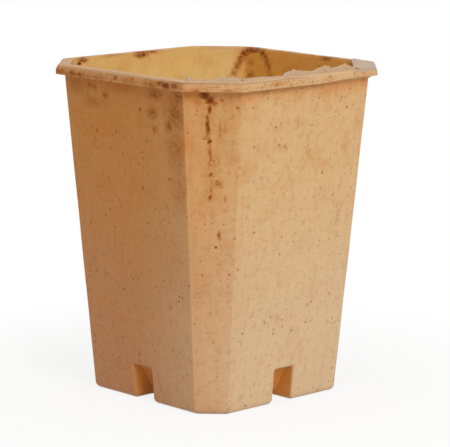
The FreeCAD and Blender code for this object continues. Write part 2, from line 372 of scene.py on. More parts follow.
class Skin:
    """Closed skin of one moulded piece, made face by face of points in millimetres."""

    def __init__(self, quarter=0):
        self.mesh = bmesh.new()
        self.turn = Matrix.Rotation(quarter * math.pi / 2, 3, "Z")

    def corner(self, point):
        return self.mesh.verts.new(settled(self.turn @ Vector(point)) * mm)

    def face(self, points):
        self.mesh.faces.new([self.corner(point) for point in points])

    def grid(self, rows, closed=False):
        for low, high in zip(rows, rows[1:]):
            last = len(low) if closed else len(low) - 1
            for index in range(last):
                after = (index + 1) % len(low)
                self.face((low[index], low[after], high[after], high[index]))

    def sheet(self, loops):
        edges = []
        for loop in loops:
            corners = [self.corner(point) for point in loop]
            edges += [self.mesh.edges.new(pair) for pair in zip(corners, corners[1:] + corners[:1])]
        bmesh.ops.triangle_fill(self.mesh, use_beauty=True, edges=edges, normal=(0, 0, 1))

    def piece(self, name, material, node):
        bmesh.ops.remove_doubles(self.mesh, verts=self.mesh.verts, dist=weld * mm)
        bmesh.ops.recalc_face_normals(self.mesh, faces=self.mesh.faces)
        data = bpy.data.meshes.new(name)
        self.mesh.to_mesh(data)
        data.shade_smooth()
        data.set_sharp_from_angle(angle=crease)
        data.materials.append(material)
        made = bpy.data.objects.new(name, data)
        bpy.context.scene.collection.objects.link(made)
        made.modifiers.new("flat_faces", "WEIGHTED_NORMAL").keep_sharp = True
        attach(made, "root")
        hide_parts(node)


def spread(start, end, steps):
    """Evenly spaced values from start to end, both included."""
    return [start + (end - start) * step / steps for step in range(steps + 1)]


quarter_round = spread(0.0, math.pi / 2, 6)
quarter_turns = [Matrix.Rotation(quarter * math.pi / 2, 3, "Z") for quarter in range(4)]
eighth_turn = math.pi / 8
facet_share = 2 - math.sqrt(2)
corner_turn_steps = 5
facet_steps = 6
corner_names = ("front_right", "back_right", "back_left", "front_left")
side_names = ("front", "right", "back", "left")

outer_edge = 0.6
inner_edge = 1.5
base_edge = 1.9
channel_edge = 1.4
arch_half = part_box("drain_arch_front")[1].x / mm
arch_wall = 1.8
notch_half = arch_half - arch_wall
pad = 1.8
pad_fillet = 1.0
arm_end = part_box("floor_cross")[1].x / mm
floor_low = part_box("floor_cross")[0].z / mm
floor_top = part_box("floor_cross")[1].z / mm
hub_radius = 10.0
hub_steps, arm_steps = 10, 3
rib_edge = 0.5


def outer_half(z):
    """Half the width across the side walls' outer faces at a height."""
    return foot_half + (wall_half - foot_half) * (z - foot_top) / (wall_top - foot_top)


def corner_outline(half, cut, radius, start, z, side_steps):
    """Outline round the front right corner at a height, from a place on the front side to the right side.

    The cut takes the corner off, and the radius rounds the two turns that this leaves.
    """
    turn = half - cut - radius * math.tan(eighth_turn)
    front = [(x, -half) for x in spread(start, turn, side_steps)[:-1]]
    first = []
    for a in spread(0.0, math.pi / 4, corner_turn_steps):
        first.append((turn + radius * math.sin(a), radius - half - radius * math.cos(a)))
    second = [(-y, -x) for x, y in reversed(first)]
    across = spread(0.0, 1.0, facet_steps)[1:-1]
    facet = [tuple(Vector(first[-1]).lerp(Vector(second[0]), share)) for share in across]
    right = [(-y, -x) for x, y in reversed(front)]
    return [(x, y, z) for x, y in front + first + facet + second + right]


def corner_run(z, inset, radius, start, side_steps):
    """Outline of the corner's wall at a height, with every face drawn in by the inset."""
    cut = base_cut + (top_cut - base_cut) * z / wall_top - inset * facet_share
    return corner_outline(outer_half(z) - inset, cut, radius, start, z, side_steps)


def channel_run(out, z):
    """Outline of the drain channel's front right edge at a height, moved out from the channel."""
    half = notch_half + out
    radius = hub_radius + out
    opening = math.asin(half / radius)
    turns = spread(opening, math.pi / 2 - opening, hub_steps)
    hub = [(radius * math.sin(a), -radius * math.cos(a)) for a in turns]
    arm = [(half, y) for y in spread(-arm_end, hub[0][1], arm_steps)[:-1]]
    return [(x, y, z) for x, y in arm + hub + [(-y, -x) for x, y in reversed(arm)]]


def ground_edge(a):
    """Height and inset on the quarter round that meets the ground."""
    return base_edge * (1 - math.cos(a)), base_edge * (1 - math.sin(a))


def channel_inset(z):
    """How far the smaller round along the drain channel stands back from its side at a height."""
    rise = max(channel_edge - z, 0.0)
    return channel_edge - math.sqrt(channel_edge ** 2 - rise ** 2)


foot_side_steps = 6
foot_heights = [pad + pad_fillet, floor_top, 6.0, 8.0, 10.0, foot_top]
plain_compound = compound("fibre_bioplastic")

for quarter, corner in enumerate(corner_names):
    foot = Skin(quarter)
    skirt = []
    for z, inset in [ground_edge(a) for a in quarter_round] + [(z, 0.0) for z in foot_heights]:
        skirt.append(corner_run(z, inset, outer_edge, arch_half, foot_side_steps))
    inside = []
    for z in reversed(foot_heights):
        inside.append(corner_run(z, wall, inner_edge, arch_half, foot_side_steps))
    for a in quarter_round[1:]:
        z = pad + pad_fillet * (1 - math.sin(a))
        inset = wall + pad_fillet * (1 - math.cos(a))
        inside.append(corner_run(z, inset, inner_edge, arch_half, foot_side_steps))
    channel = [channel_run(channel_inset(z), z) for z, inset in [ground_edge(a) for a in quarter_round]]
    channel += [channel_run(0.0, floor_low), channel_run(0.0, floor_top)]
    rib = []
    for a in quarter_round:
        out = arch_wall - rib_edge * (1 - math.sin(a))
        rib.append(channel_run(out, floor_top - rib_edge * (1 - math.cos(a))))
    rib.append(channel_run(arch_wall, pad))
    for rows in (skirt, [skirt[-1], inside[0]], inside, channel, [channel[-1], rib[0]], rib):
        foot.grid(rows)
    inner_ends = [(arch_half, -arm_end, 0.0), (arm_end, -arch_half, 0.0)]
    foot.face(skirt[0] + [inner_ends[1]] + channel[0][::-1] + [inner_ends[0]])
    foot.face(inside[-1] + rib[-1][::-1])
    for end, ground_end in zip((0, -1), inner_ends):
        foot.face([row[end] for row in skirt + inside] + [rib[-1][end], ground_end])
        foot.face([row[end] for row in channel + rib] + [ground_end])
    foot.piece("foot_" + corner + "_moulding", plain_compound, "foot_" + corner)


# Drain arches: the surround of the notch in the middle of each side's foot. Two cheeks and a roof
# that bends down to the floor keep the soil in; the mouth's edge is rolled over in the mould.
notch_height = 10.9
notch_corner = 0.6
mouth_edge = 0.8
bend_radius = 4.5
bend_height = notch_height - bend_radius
ramp_depth = 7.2
roof_depth = 3.3
ramp_foot = outer_half(floor_low) - ramp_depth
ramp_top = outer_half(notch_height) - roof_depth
ramp_angle = math.atan2(notch_height - floor_low, ramp_top - ramp_foot)
bend_reach = ramp_top + bend_radius * math.tan(ramp_angle / 2)
notch_side_steps, notch_turn_steps, notch_top_steps = 4, 5, 3
settle_turns = 6


def roof_height(reach, offset):
    """Height of the roof at a distance from the pot's axis, moved out from the notch by an offset."""
    radius = bend_radius + offset
    if reach >= bend_reach:
        return bend_height + radius
    if reach >= bend_reach - radius * math.sin(ramp_angle):
        return bend_height + math.sqrt(radius ** 2 - (bend_reach - reach) ** 2)
    foot_reach = ramp_foot - offset * math.sin(ramp_angle)
    foot_height = floor_low + offset * math.cos(ramp_angle)
    low = floor_low if offset == 0 else floor_top
    return max(foot_height + (reach - foot_reach) * math.tan(ramp_angle), low)


def face_at(z):
    """Distance of the side's outer face from the axis, with the soft edge on the ground."""
    rise = max(base_edge - z, 0.0)
    return outer_half(z) - base_edge + math.sqrt(base_edge ** 2 - rise ** 2)


def mirrored(points):
    """The points again on the other side of the notch, in the order that carries on from them."""
    return [(-x, y, z) for x, y, z in reversed(points)]


def settle_height(reach_at, offset):
    """Roof height where a row of the roof crosses the arch, whose rows lean with the wall."""
    height = notch_height + offset
    for turn in range(settle_turns):
        height = roof_height(reach_at(height), offset)
    return height


def notch_row(reach_at, roof, flare):
    """One section of the notch, from the ground over the roof and down again."""
    row = []
    rounding = min(notch_corner, (roof - base_edge) / 2)
    for z in [ground_edge(a)[0] for a in quarter_round]:
        bell = channel_inset(z)
        row.append((notch_half + flare + bell - flare * bell / (channel_edge + mouth_edge), z))
    row += [(notch_half + flare, z) for z in spread(base_edge, roof - rounding, notch_side_steps)[1:-1]]
    for a in spread(0.0, math.pi / 2, notch_turn_steps):
        turn = rounding + flare
        row.append((notch_half - rounding + turn * math.cos(a), roof - rounding + turn * math.sin(a)))
    row += [(x, roof + flare) for x in spread(notch_half - rounding, 0.0, notch_top_steps)[1:-1]]
    row = [(x, -reach_at(z), z) for x, z in row]
    middle = (0.0, -reach_at(roof + flare), roof + flare)
    return row + [middle] + mirrored(row)


def hump_row(reach_at):
    """One section of the roof's upper side, from the right cheek's top edge to the left one's."""
    top = settle_height(reach_at, arch_wall)
    row = []
    for a in quarter_round:
        row.append((arch_half - rib_edge * (1 - math.cos(a)), top - rib_edge * (1 - math.sin(a))))
    row += [(x, top) for x in spread(arch_half - rib_edge, 0.0, notch_top_steps)[1:-1]]
    row = [(x, -reach_at(z), z) for x, z in row]
    return row + [(0.0, -reach_at(top), top)] + mirrored(row)


notch_shade_amber = rgb(218, 148, 75)


def notch_shade_marks(place, axes, colour):
    """Painted shade of a drain arch: its notch is painted a browner amber than the outside, from the mouth's
    edge inwards, for the shade in the recess.
    """
    east = axes.math("ABSOLUTE", axes)
    north = axes.math("ABSOLUTE", axes.also("Y"))
    height = axes.also("Z")
    rise = height - (axes.math("MAXIMUM", east, north) - ramp_foot * mm) * math.tan(ramp_angle)
    under_ramp = fade(rise, (floor_low + 2.3) * mm, (floor_low + 1.4) * mm)
    under_roof = fade(height, (notch_height + 1.0) * mm, (notch_height + 0.4) * mm)
    between = fade(axes.math("MINIMUM", east, north), (notch_half + 0.4) * mm, (notch_half + 0.1) * mm)
    behind = fade(depth_inside(axes), 0.4 * mm, 1.1 * mm)
    return mixed(under_ramp * under_roof * between * behind * 0.94, colour, notch_shade_amber)


arch_compound = compound("fibre_bioplastic_arch", notch_shade_marks)
roof_shares = spread(0.0, 0.5, 10)[1:] + [0.6, 0.7, 0.8]
hump_steps = 16
jamb_points = len(quarter_round) + notch_side_steps + notch_turn_steps
inner_end = (arch_half, -arm_end, 0.0)

for quarter, side in enumerate(side_names):
    arch = Skin(quarter)
    notch = []
    for a in quarter_round:
        depth = mouth_edge * (1 - math.cos(a))
        flare = mouth_edge * (1 - math.sin(a))
        notch.append(notch_row(lambda z: face_at(z) - depth, notch_height, flare))
    for share in roof_shares:
        reach_at = lambda z: face_at(z) - mouth_edge - (face_at(z) - mouth_edge - ramp_foot) * share
        notch.append(notch_row(reach_at, settle_height(reach_at, 0.0), 0.0))
    for reach in (ramp_foot, arm_end):
        notch.append(notch_row(lambda z: reach, floor_low, 0.0))
    hump = []
    for share in spread(0.0, 1.0, hump_steps):
        hump.append(hump_row(lambda z: outer_half(z) - wall - (outer_half(z) - wall - arm_end) * share))
    arch.grid(notch)
    arch.grid(hump)
    jamb = notch[0][:jamb_points]
    edge_right = [(arch_half, y, z) for x, y, z in jamb]
    top_outer = [(x, -outer_half(foot_top), foot_top) for x in (arch_half, -arch_half)]
    top_inner = [(x, -outer_half(foot_top) + wall, foot_top) for x in (arch_half, -arch_half)]
    for sign in (1, -1):
        for low, high, low_edge, high_edge in zip(jamb, jamb[1:], edge_right, edge_right[1:]):
            arch.face([(sign * x, y, z) for x, y, z in (low, high, high_edge, low_edge)])
        seam = edge_right + [top_outer[0], top_inner[0]] + [row[0] for row in hump]
        arch.face([(sign * x, y, z) for x, y, z in seam + [inner_end]])
        cheek = [edge_right[0]] + [row[0] for row in notch] + [inner_end]
        arch.face([(sign * x, y, z) for x, y, z in cheek])
    crown = notch[0][jamb_points - 1:len(notch[0]) - jamb_points + 1]
    arch.face(edge_right[-1:] + top_outer + mirrored(edge_right[-1:]) + crown[::-1])
    arch.face(top_outer + top_inner[::-1])
    arch.face(top_inner[::-1] + hump[0])
    arch.face(hump[-1] + mirrored([inner_end]) + notch[-1][::-1] + [inner_end])
    arch.piece("drain_arch_" + side + "_moulding", arch_compound, "drain_arch_" + side)


# Floor cross: the raised strips that cover the drain channel between the feet.
# The mould's pins leave one round hole in the middle and a slot in each arm.
hub_hole = 4.0
slot_round = 2.5
slot_near, slot_far = 14.87, 16.37
hole_edge = 0.3
hole_end_steps = 12


def round_end(centre, radius, start):
    """Half circle at one end of a hole, from a start angle."""
    half_turn = spread(start, start + math.pi, hole_end_steps)
    return [(radius * math.cos(a), -centre - radius * math.sin(a)) for a in half_turn]


def hole_outline(near, far, radius, z):
    """Outline of a hole whose two round ends are centred at two distances from the axis."""
    ends = round_end(far, radius, 0.0) + round_end(near, radius, math.pi)
    once = dict.fromkeys((round(x, 6), round(y, 6)) for x, y in ends)
    return [(x, y, z) for x, y in once]


cross = Skin()
outlines = []
for z in (floor_low, floor_top):
    outline = []
    for turn in quarter_turns:
        outline += [tuple(turn @ Vector(point)) for point in channel_run(0.0, z)]
    outlines.append(outline)
cross.grid(outlines, closed=True)
low_loops, high_loops = [outlines[0]], [outlines[1]]
holes = [(quarter_turns[0], 0.0, 0.0, hub_hole)]
holes += [(turn, slot_near, slot_far, slot_round) for turn in quarter_turns]
hole_levels = []
for a in quarter_round:
    hole_levels.append((floor_low + hole_edge * (1 - math.cos(a)), hole_edge * (1 - math.sin(a))))
hole_levels += [(floor_low + floor_top - z, out) for z, out in reversed(hole_levels)]
for turn, near, far, radius in holes:
    rows = []
    for z, out in hole_levels:
        rows.append([tuple(turn @ Vector(p)) for p in hole_outline(near, far, radius + out, z)])
    cross.grid(rows, closed=True)
    low_loops.append(rows[0])
    high_loops.append(rows[-1])
cross.sheet(low_loops)
cross.sheet(high_loops)
cross.piece("floor_cross_moulding", plain_compound, "floor_cross")


# Side walls: four flat tapered panels from the drain arches up to the lip, 1.8 mm thick.
# The wall swells into the lip's underside with a small fillet. Water has left brown spots near the rim.
seam_flat = 0.4
seam_setback = (wall + inner_edge) * math.tan(eighth_turn) + seam_flat
lip_fillet = 0.5
wall_rows = 24
wall_steps = 14
wall_levels = [(z, 0.0) for z in spread(foot_top, wall_top - lip_fillet, wall_rows)]
for a in quarter_round[1:]:
    wall_levels.append((wall_top - lip_fillet * (1 - math.sin(a)), lip_fillet * (1 - math.cos(a))))
stain_orange = rgb(170, 98, 24)
stain_brown = rgb(112, 44, 0)
stain_warp = 1.2
stain_fringe = 1.5


def stain_marks(spots):
    """Marks of brown water stains: a spot is x, y and z, half its width and height, and its strength."""

    def marks(place, axes, colour):
        fringe = {"Vector": place, "Scale": 1 / (stain_fringe * mm), "Detail": 3.0}
        ragged = place.node("TexNoise", {}, fringe, "Color")
        warp = {0: ragged, 1: (stain_warp * mm, stain_warp * mm, stain_warp * mm), 2: place}
        warped = place.node("VectorMath", {"operation": "MULTIPLY_ADD"}, warp)
        stain = axes * 0.0
        for x, y, z, across, tall, strength in spots:
            centre = tuple((part + stain_warp / 2) * mm for part in (x, y, z))
            off = warped.node("VectorMath", {"operation": "SUBTRACT"}, {0: warped, 1: centre})
            off = scaled(off, across * mm, across * mm, tall * mm)
            far = off.node("VectorMath", {"operation": "LENGTH"}, {0: off}, 1)
            stain = stain.math("MAXIMUM", stain, fade(far, 1.0, 0.0) * strength)
        stain *= fade(cloud(place, 1.1 * mm, 3.0), 0.3, 0.6) * 0.4 + 0.65
        colour = mixed(fade(stain, 0.0, 0.65) * 0.88, colour, stain_orange)
        return mixed(fade(stain, 0.35, 0.95) * 0.92, colour, stain_brown)

    return marks


side_stains = {
    "front": [
        (14.0, -37.8, 95.0, 7.0, 3.6, 0.62), (7.0, -37.4, 89.8, 1.3, 1.3, 0.75),
        (12.5, -37.2, 89.6, 5.0, 3.6, 0.58), (-14.5, -37.9, 95.2, 4.6, 2.6, 0.5),
        (-12.5, -37.9, 94.6, 1.6, 1.3, 0.7), (-8.2, -37.7, 92.6, 2.2, 2.0, 0.7),
        (-21.0, -37.9, 94.5, 8.0, 5.0, 0.44), (-14.0, -37.5, 90.0, 8.0, 3.6, 0.42),
        (22.0, -37.5, 90.0, 9.0, 11.0, 0.58), (19.0, -37.3, 86.4, 3.8, 5.0, 0.62),
        (13.0, -36.9, 84.5, 2.4, 2.6, 0.58), (24.0, -37.7, 95.0, 6.0, 4.0, 0.64),
        (21.5, -36.8, 80.0, 9.0, 14.0, 0.44), (22.0, -35.6, 68.0, 9.0, 15.0, 0.34),
        (-4.0, -37.0, 86.0, 14.0, 9.0, 0.14), (22.4, -36.5, 79.7, 1.2, 1.6, 0.62),
        (-13.0, -36.7, 81.6, 1.0, 1.2, 0.6), (6.0, -35.3, 66.4, 0.9, 1.0, 0.7),
        (18.0, -35.6, 70.6, 1.8, 0.9, 0.6), (0.0, -37.8, 95.6, 12.0, 2.6, 0.36),
        (-28.0, -37.8, 95.0, 6.0, 5.0, 0.34),
    ],
    "right": [
        (37.6, -21.5, 92.1, 1.0, 0.9, 0.7), (36.5, -9.8, 80.1, 0.8, 1.0, 0.75),
        (37.3, 17.7, 88.9, 0.9, 1.2, 0.6), (36.6, -19.9, 80.3, 0.8, 0.9, 0.75),
        (36.4, -7.3, 79.4, 1.4, 1.6, 0.4), (38.0, -16.0, 96.0, 6.0, 1.6, 0.35),
    ],
    "back": [
        (-22.6, 36.1, 95.4, 3.4, 2.6, 0.4), (-22.3, 35.8, 91.4, 3.8, 3.4, 0.52),
        (-15.5, 36.2, 96.3, 2.0, 3.2, 0.68), (-14.3, 36.0, 94.4, 2.0, 3.6, 0.6),
        (-17.2, 36.3, 97.8, 2.2, 2.2, 0.76), (-13.2, 35.8, 91.2, 2.6, 4.4, 0.5),
        (8.0, 36.2, 97.6, 4.0, 1.6, 0.6), (-4.0, 36.0, 94.0, 7.0, 4.0, 0.36),
        (12.0, 36.0, 93.0, 6.0, 4.0, 0.34),
    ],
    "left": [
        (-36.4, -23.9, 97.4, 2.2, 1.6, 0.6),
    ],
}


def seam_at(z):
    """How far from the middle of a side its wall panel ends and the corner begins."""
    cut = base_cut + (top_cut - base_cut) * z / wall_top
    return outer_half(z) - cut - seam_setback


for quarter, side in enumerate(side_names):
    panel = Skin(quarter)
    rings = []
    for z, swell in wall_levels:
        outer = [(x, -outer_half(z) - swell, z) for x in spread(-seam_at(z), seam_at(z), wall_steps)]
        inner = [(x, wall - outer_half(z), z) for x in spread(seam_at(z), -seam_at(z), wall_steps)]
        rings.append(outer + inner)
    panel.grid(rings, closed=True)
    panel.face(rings[0])
    panel.face(rings[-1])
    stained = compound("fibre_bioplastic_" + side, stain_marks(side_stains[side]))
    panel.piece("wall_" + side + "_moulding", stained, "wall_" + side)


# Corner walls: the slanted facets between the panels, with their two crisp outer edges and the rounder
# turns on the inside that let the pot leave the mould. A drip has run down the front right one.
corner_stains = {
    "front_right": [
        (30.3, -33.9, 96.2, 2.8, 2.6, 1.0), (31.6, -32.6, 94.6, 2.6, 2.5, 1.0),
        (31.2, -32.6, 92.0, 1.3, 3.2, 0.9), (30.9, -33.3, 95.5, 2.4, 2.2, 1.0),
        (32.4, -31.6, 93.6, 1.6, 1.6, 0.8), (30.4, -32.6, 89.4, 1.3, 3.4, 0.8),
        (31.0, -32.2, 90.0, 6.0, 12.0, 0.27), (30.5, -31.0, 74.0, 5.0, 16.0, 0.26),
        (33.2, -29.2, 84.0, 4.6, 15.0, 0.2), (30.4, -32.4, 87.0, 1.3, 8.0, 0.82),
        (30.5, -32.3, 86.4, 1.4, 2.8, 0.95), (30.5, -31.9, 82.8, 1.2, 1.8, 0.95),
        (30.4, -31.5, 77.5, 1.1, 9.0, 0.72), (30.5, -31.0, 72.8, 1.2, 1.5, 0.95),
        (30.2, -30.7, 68.5, 1.1, 5.0, 0.68), (29.7, -30.7, 66.0, 1.1, 1.9, 0.75),
        (31.4, -29.2, 70.2, 2.6, 2.6, 0.55), (31.2, -29.6, 70.8, 0.9, 0.8, 0.9),
        (32.2, -28.6, 69.2, 0.9, 0.9, 0.75), (30.7, -28.0, 54.6, 0.9, 3.4, 0.7),
        (29.8, -28.3, 51.1, 0.9, 0.9, 0.85), (33.7, -30.1, 94.7, 1.2, 1.4, 0.6),
        (32.9, -30.0, 86.0, 1.4, 8.0, 0.46), (32.1, -29.7, 76.0, 1.2, 6.0, 0.4),
        (35.0, -29.0, 92.0, 5.0, 9.0, 0.27), (34.5, -28.4, 80.0, 4.5, 14.0, 0.2),
        (28.6, -34.6, 94.0, 3.0, 4.0, 0.4), (32.5, -27.4, 65.5, 0.9, 2.0, 0.5),
        (36.6, -26.6, 92.5, 1.2, 1.1, 0.7), (28.2, -34.6, 91.6, 0.9, 0.9, 0.65),
    ],
    "back_left": [
        (-26.0, 35.5, 97.0, 2.2, 2.6, 0.85), (-26.4, 34.9, 95.6, 2.2, 3.0, 0.74),
        (-26.9, 34.2, 93.8, 2.4, 3.4, 0.62), (-27.4, 33.5, 91.9, 2.6, 3.6, 0.52),
        (-27.9, 32.9, 89.6, 2.6, 3.6, 0.42),
    ],
}
near_seam_from = 18.0
near_seam = [spot for spot in side_stains["front"] if spot[0] > near_seam_from]


def drip_marks(place, axes, colour):
    """Marks of the front right corner: the drip on its facet, beside the end of the front side's haze."""
    straight, slanted = reaches(axes)
    on_facet = fade(slanted - straight, -0.2 * mm, 0.1 * mm)
    beside = stain_marks(near_seam)(place, axes, colour)
    return stain_marks(corner_stains["front_right"])(place, axes, mixed(on_facet, beside, colour))


corner_marks = {"front_right": drip_marks, "back_left": stain_marks(corner_stains["back_left"])}
for quarter, corner in enumerate(corner_names):
    facet = Skin(quarter)
    rings = []
    for z, swell in wall_levels:
        outer = corner_run(z, -swell, outer_edge, seam_at(z), 1)
        rings.append(outer + corner_run(z, wall, inner_edge, seam_at(z), 1)[::-1])
    facet.grid(rings, closed=True)
    facet.face(rings[0])
    facet.face(rings[-1])
    paint = plain_compound
    if corner in corner_marks:
        paint = compound("fibre_bioplastic_" + corner, corner_marks[corner])
    facet.piece("corner_" + corner + "_moulding", paint, "corner_" + corner)


# Rim collar: the flat lip that stands out all round the mouth. The mould closes along its lower edge,
# which leaves a fine bead, and along the mouth, which leaves a low uneven burr. Its top is rubbed pale.
pot_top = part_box("rim_collar")[1].z / mm
rim_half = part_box("rim_collar")[1].x / mm
rim_cut = 12.4
mouth_half = outer_half(pot_top) - wall
mouth_cut = base_cut + (top_cut - base_cut) * pot_top / wall_top - wall * facet_share
lip_width = rim_half - mouth_half
mouth_round = 0.35
bead_proud = 0.16
burr_height = 0.3
rim_wobble = 0.1
rim_steps = 18
mouth_steps = 4
soft_edge = 0.85
soft_steps = 9
soft_profile = []
for a in spread(0.0, math.pi / 2, soft_steps):
    soft_profile.append((soft_edge * (1 - math.sin(a)), soft_edge * (1 - math.cos(a))))
# Inset and drop of the same points where the groove is open, and the bearings where it opens and closes
open_profile = [
    (0.3, 0.0), (0.12, 0.0), (0.03, 0.04), (0.0, 0.12), (0.0, 0.22), (0.06, 0.27), (0.07, 0.34),
    (0.01, 0.42), (0.0, 0.54), (0.0, 0.85),
]
groove_start, groove_end = (-63.0, -57.0), (2.0, -9.0)
belly_proud = 0.25
# The lip's lower edge rises by this much between two bearings, near the back right corner
lip_lift = 0.55
lift_start, lift_end = (4.0, 24.0), (62.0, 82.0)
# Drop below the rim's top, and shares of the belly and of the bead, down the lip's outer face
lip_face = [
    (1.05, 0.5, 0.0), (1.45, 0.95, 0.0), (1.9, 1.0, 0.0), (2.25, 0.75, 0.0), (2.38, 0.65, 0.5),
    (2.5, 0.55, 1.0), (2.66, 0.4, 0.85), (2.77, 0.2, 0.3),
]
rim_dust = rgb(202, 166, 128)
rim_dust_left = rgb(186, 146, 104)
lip_tan = rgb(190, 152, 116)
groove_shade_brown = rgb(140, 100, 62)
corner_grey = rgb(176, 152, 130)


def whole_ring(quarter_points):
    """Outline all round the pot from the one of its front right corner."""
    ring = []
    for turn in quarter_turns:
        ring += [turn @ Vector(point) for point in quarter_points[:-1]]
    return ring


mouth_ring = whole_ring(corner_outline(mouth_half, mouth_cut, inner_edge, 0.0, 0.0, rim_steps))
lip_ring = whole_ring(corner_outline(rim_half, rim_cut, outer_edge, 0.0, 0.0, rim_steps))


def edge_point(outer, soft, opened):
    """Inset and drop on the lip's edge, where a thin groove opens round the front right corner."""
    bearing = math.degrees(math.atan2(outer.y, outer.x))
    groove = eased(bearing, *groove_start) * (1 - eased(bearing, *groove_end[::-1]))
    return Vector(soft).lerp(Vector(opened), groove)


def lip_top(place_share):
    """Ring on top of the lip, at a share of the way from the mouth to the outer edge."""
    ring = []
    for inner, outer in zip(mouth_ring, lip_ring):
        out = place_share * (lip_width - edge_point(outer, soft_profile[0], open_profile[0]).x)
        point = inner.lerp(outer, out / lip_width)
        burr = burr_height * (0.5 + noise.noise(point / 2.6) + 0.4 * noise.noise(point / 0.8))
        rise = burr * (1 - eased(out, 0.15, 1.0)) * eased(out, -0.4, 0.25)
        rise += rim_wobble * noise.noise(point / 6.0)
        ring.append(point + Vector((0.0, 0.0, pot_top + rise)))
    return ring


def lip_side(soft, opened):
    """Ring on the edge between the lip's top and its outer face, with its groove."""
    ring = []
    for inner, outer in zip(mouth_ring, lip_ring):
        first = edge_point(outer, soft_profile[0], open_profile[0])
        inset, drop = edge_point(outer, soft, opened)
        point = inner.lerp(outer, 1 - inset / lip_width)
        wobble = rim_wobble * noise.noise(inner.lerp(outer, 1 - first.x / lip_width) / 6.0)
        ring.append(point + Vector((0.0, 0.0, pot_top + wobble * (1 - drop / soft_edge) - drop)))
    return ring


def lifted(outer, drop):
    """Height at a drop below the rim's top: the lip grows thinner towards the back right corner."""
    bearing = math.degrees(math.atan2(outer.y, outer.x))
    lift = lip_lift * eased(bearing, *lift_start) * (1 - eased(bearing, *lift_end))
    return pot_top - drop + lift * eased(drop, 0.4, 2.2)


collar_rings = []
for z in spread(wall_top, pot_top - mouth_round, mouth_steps):
    cut = base_cut + (top_cut - base_cut) * z / wall_top - wall * facet_share
    collar_rings.append(whole_ring(corner_outline(outer_half(z) - wall, cut, inner_edge, 0.0, z, rim_steps)))
collar_rings += [lip_top(share) for share in [0.04, 0.1, 0.17, 0.26, 0.36, 0.5, 0.65, 0.82, 1.0]]
collar_rings += [lip_side(soft, opened) for soft, opened in zip(soft_profile[1:], open_profile[1:])]
for drop, belly, bead in lip_face:
    proud = belly * belly_proud + bead * bead_proud
    ring = [outer + outer.normalized() * proud for outer in lip_ring]
    collar_rings.append([point + Vector((0.0, 0.0, lifted(point, drop))) for point in ring])
for inset in (0.35, 1.0):
    ring = [outer.lerp(inner, inset / lip_width) for inner, outer in zip(mouth_ring, lip_ring)]
    collar_rings.append([point + Vector((0.0, 0.0, lifted(point, pot_top - wall_top))) for point in ring])
fillet_end = corner_run(wall_top, -lip_fillet, outer_edge, 0.0, rim_steps)
collar_rings.append(whole_ring(fillet_end))

rim_spots = [
    (-20.0, -40.0, 98.2, 3.4, 1.5, 0.9), (-16.8, -40.0, 98.2, 2.4, 1.4, 0.8),
    (-13.1, -40.0, 97.9, 1.8, 1.1, 0.7), (-0.6, -40.0, 98.7, 1.8, 1.3, 0.85),
    (6.4, -40.0, 98.9, 1.2, 1.0, 0.6), (15.0, -40.0, 98.2, 7.0, 2.2, 0.5),
    (18.4, -40.0, 99.2, 3.2, 1.7, 0.95), (21.0, -40.0, 98.4, 3.6, 2.0, 1.0),
    (24.5, -40.0, 98.8, 4.6, 2.2, 0.72), (-27.0, -40.0, 98.2, 7.0, 2.0, 0.55),
    (40.0, -20.3, 98.0, 0.9, 0.8, 0.7), (40.0, -5.0, 98.9, 0.9, 0.8, 0.7),
    (40.0, 7.5, 99.0, 0.8, 0.7, 0.6), (40.0, 18.1, 99.2, 0.9, 0.7, 0.6),
    (39.6, -9.5, 99.9, 2.4, 0.5, 0.7), (-22.2, 36.5, 99.5, 3.4, 1.9, 1.0),
    (-36.5, 2.0, 99.3, 5.6, 2.2, 0.9), (-36.5, -22.2, 99.4, 4.2, 1.8, 0.78),
    (-19.6, 36.5, 99.7, 3.0, 1.7, 0.95), (-25.6, 36.2, 98.0, 2.6, 2.0, 0.9),
    (10.5, 36.5, 99.6, 5.0, 1.4, 0.75), (-24.1, 36.4, 98.9, 2.6, 1.9, 0.95),
    (-17.6, 36.5, 98.8, 2.2, 2.2, 0.8), (-16.3, 36.4, 97.6, 2.2, 2.4, 0.72),
    (-36.5, 6.0, 99.9, 6.0, 1.4, 0.7), (-36.4, -23.6, 98.2, 1.8, 1.5, 0.9),
    (-36.5, -10.0, 99.9, 9.0, 1.4, 0.4), (39.2, -12.6, 100.0, 2.0, 0.3, 0.8),
    (40.0, -8.0, 99.7, 2.2, 0.3, 0.7), (-22.8, 38.2, 100.0, 3.0, 1.0, 0.9),
    (-8.0, -40.0, 98.0, 6.0, 1.6, 0.45), (5.0, -40.0, 98.2, 6.0, 1.6, 0.42),
    (30.4, -37.2, 97.6, 3.0, 0.8, 0.5), (36.8, -30.6, 97.7, 3.0, 0.8, 0.55),
    (34.0, -33.6, 98.7, 4.0, 0.6, 0.4), (40.0, -14.0, 98.8, 7.0, 1.4, 0.45),
]


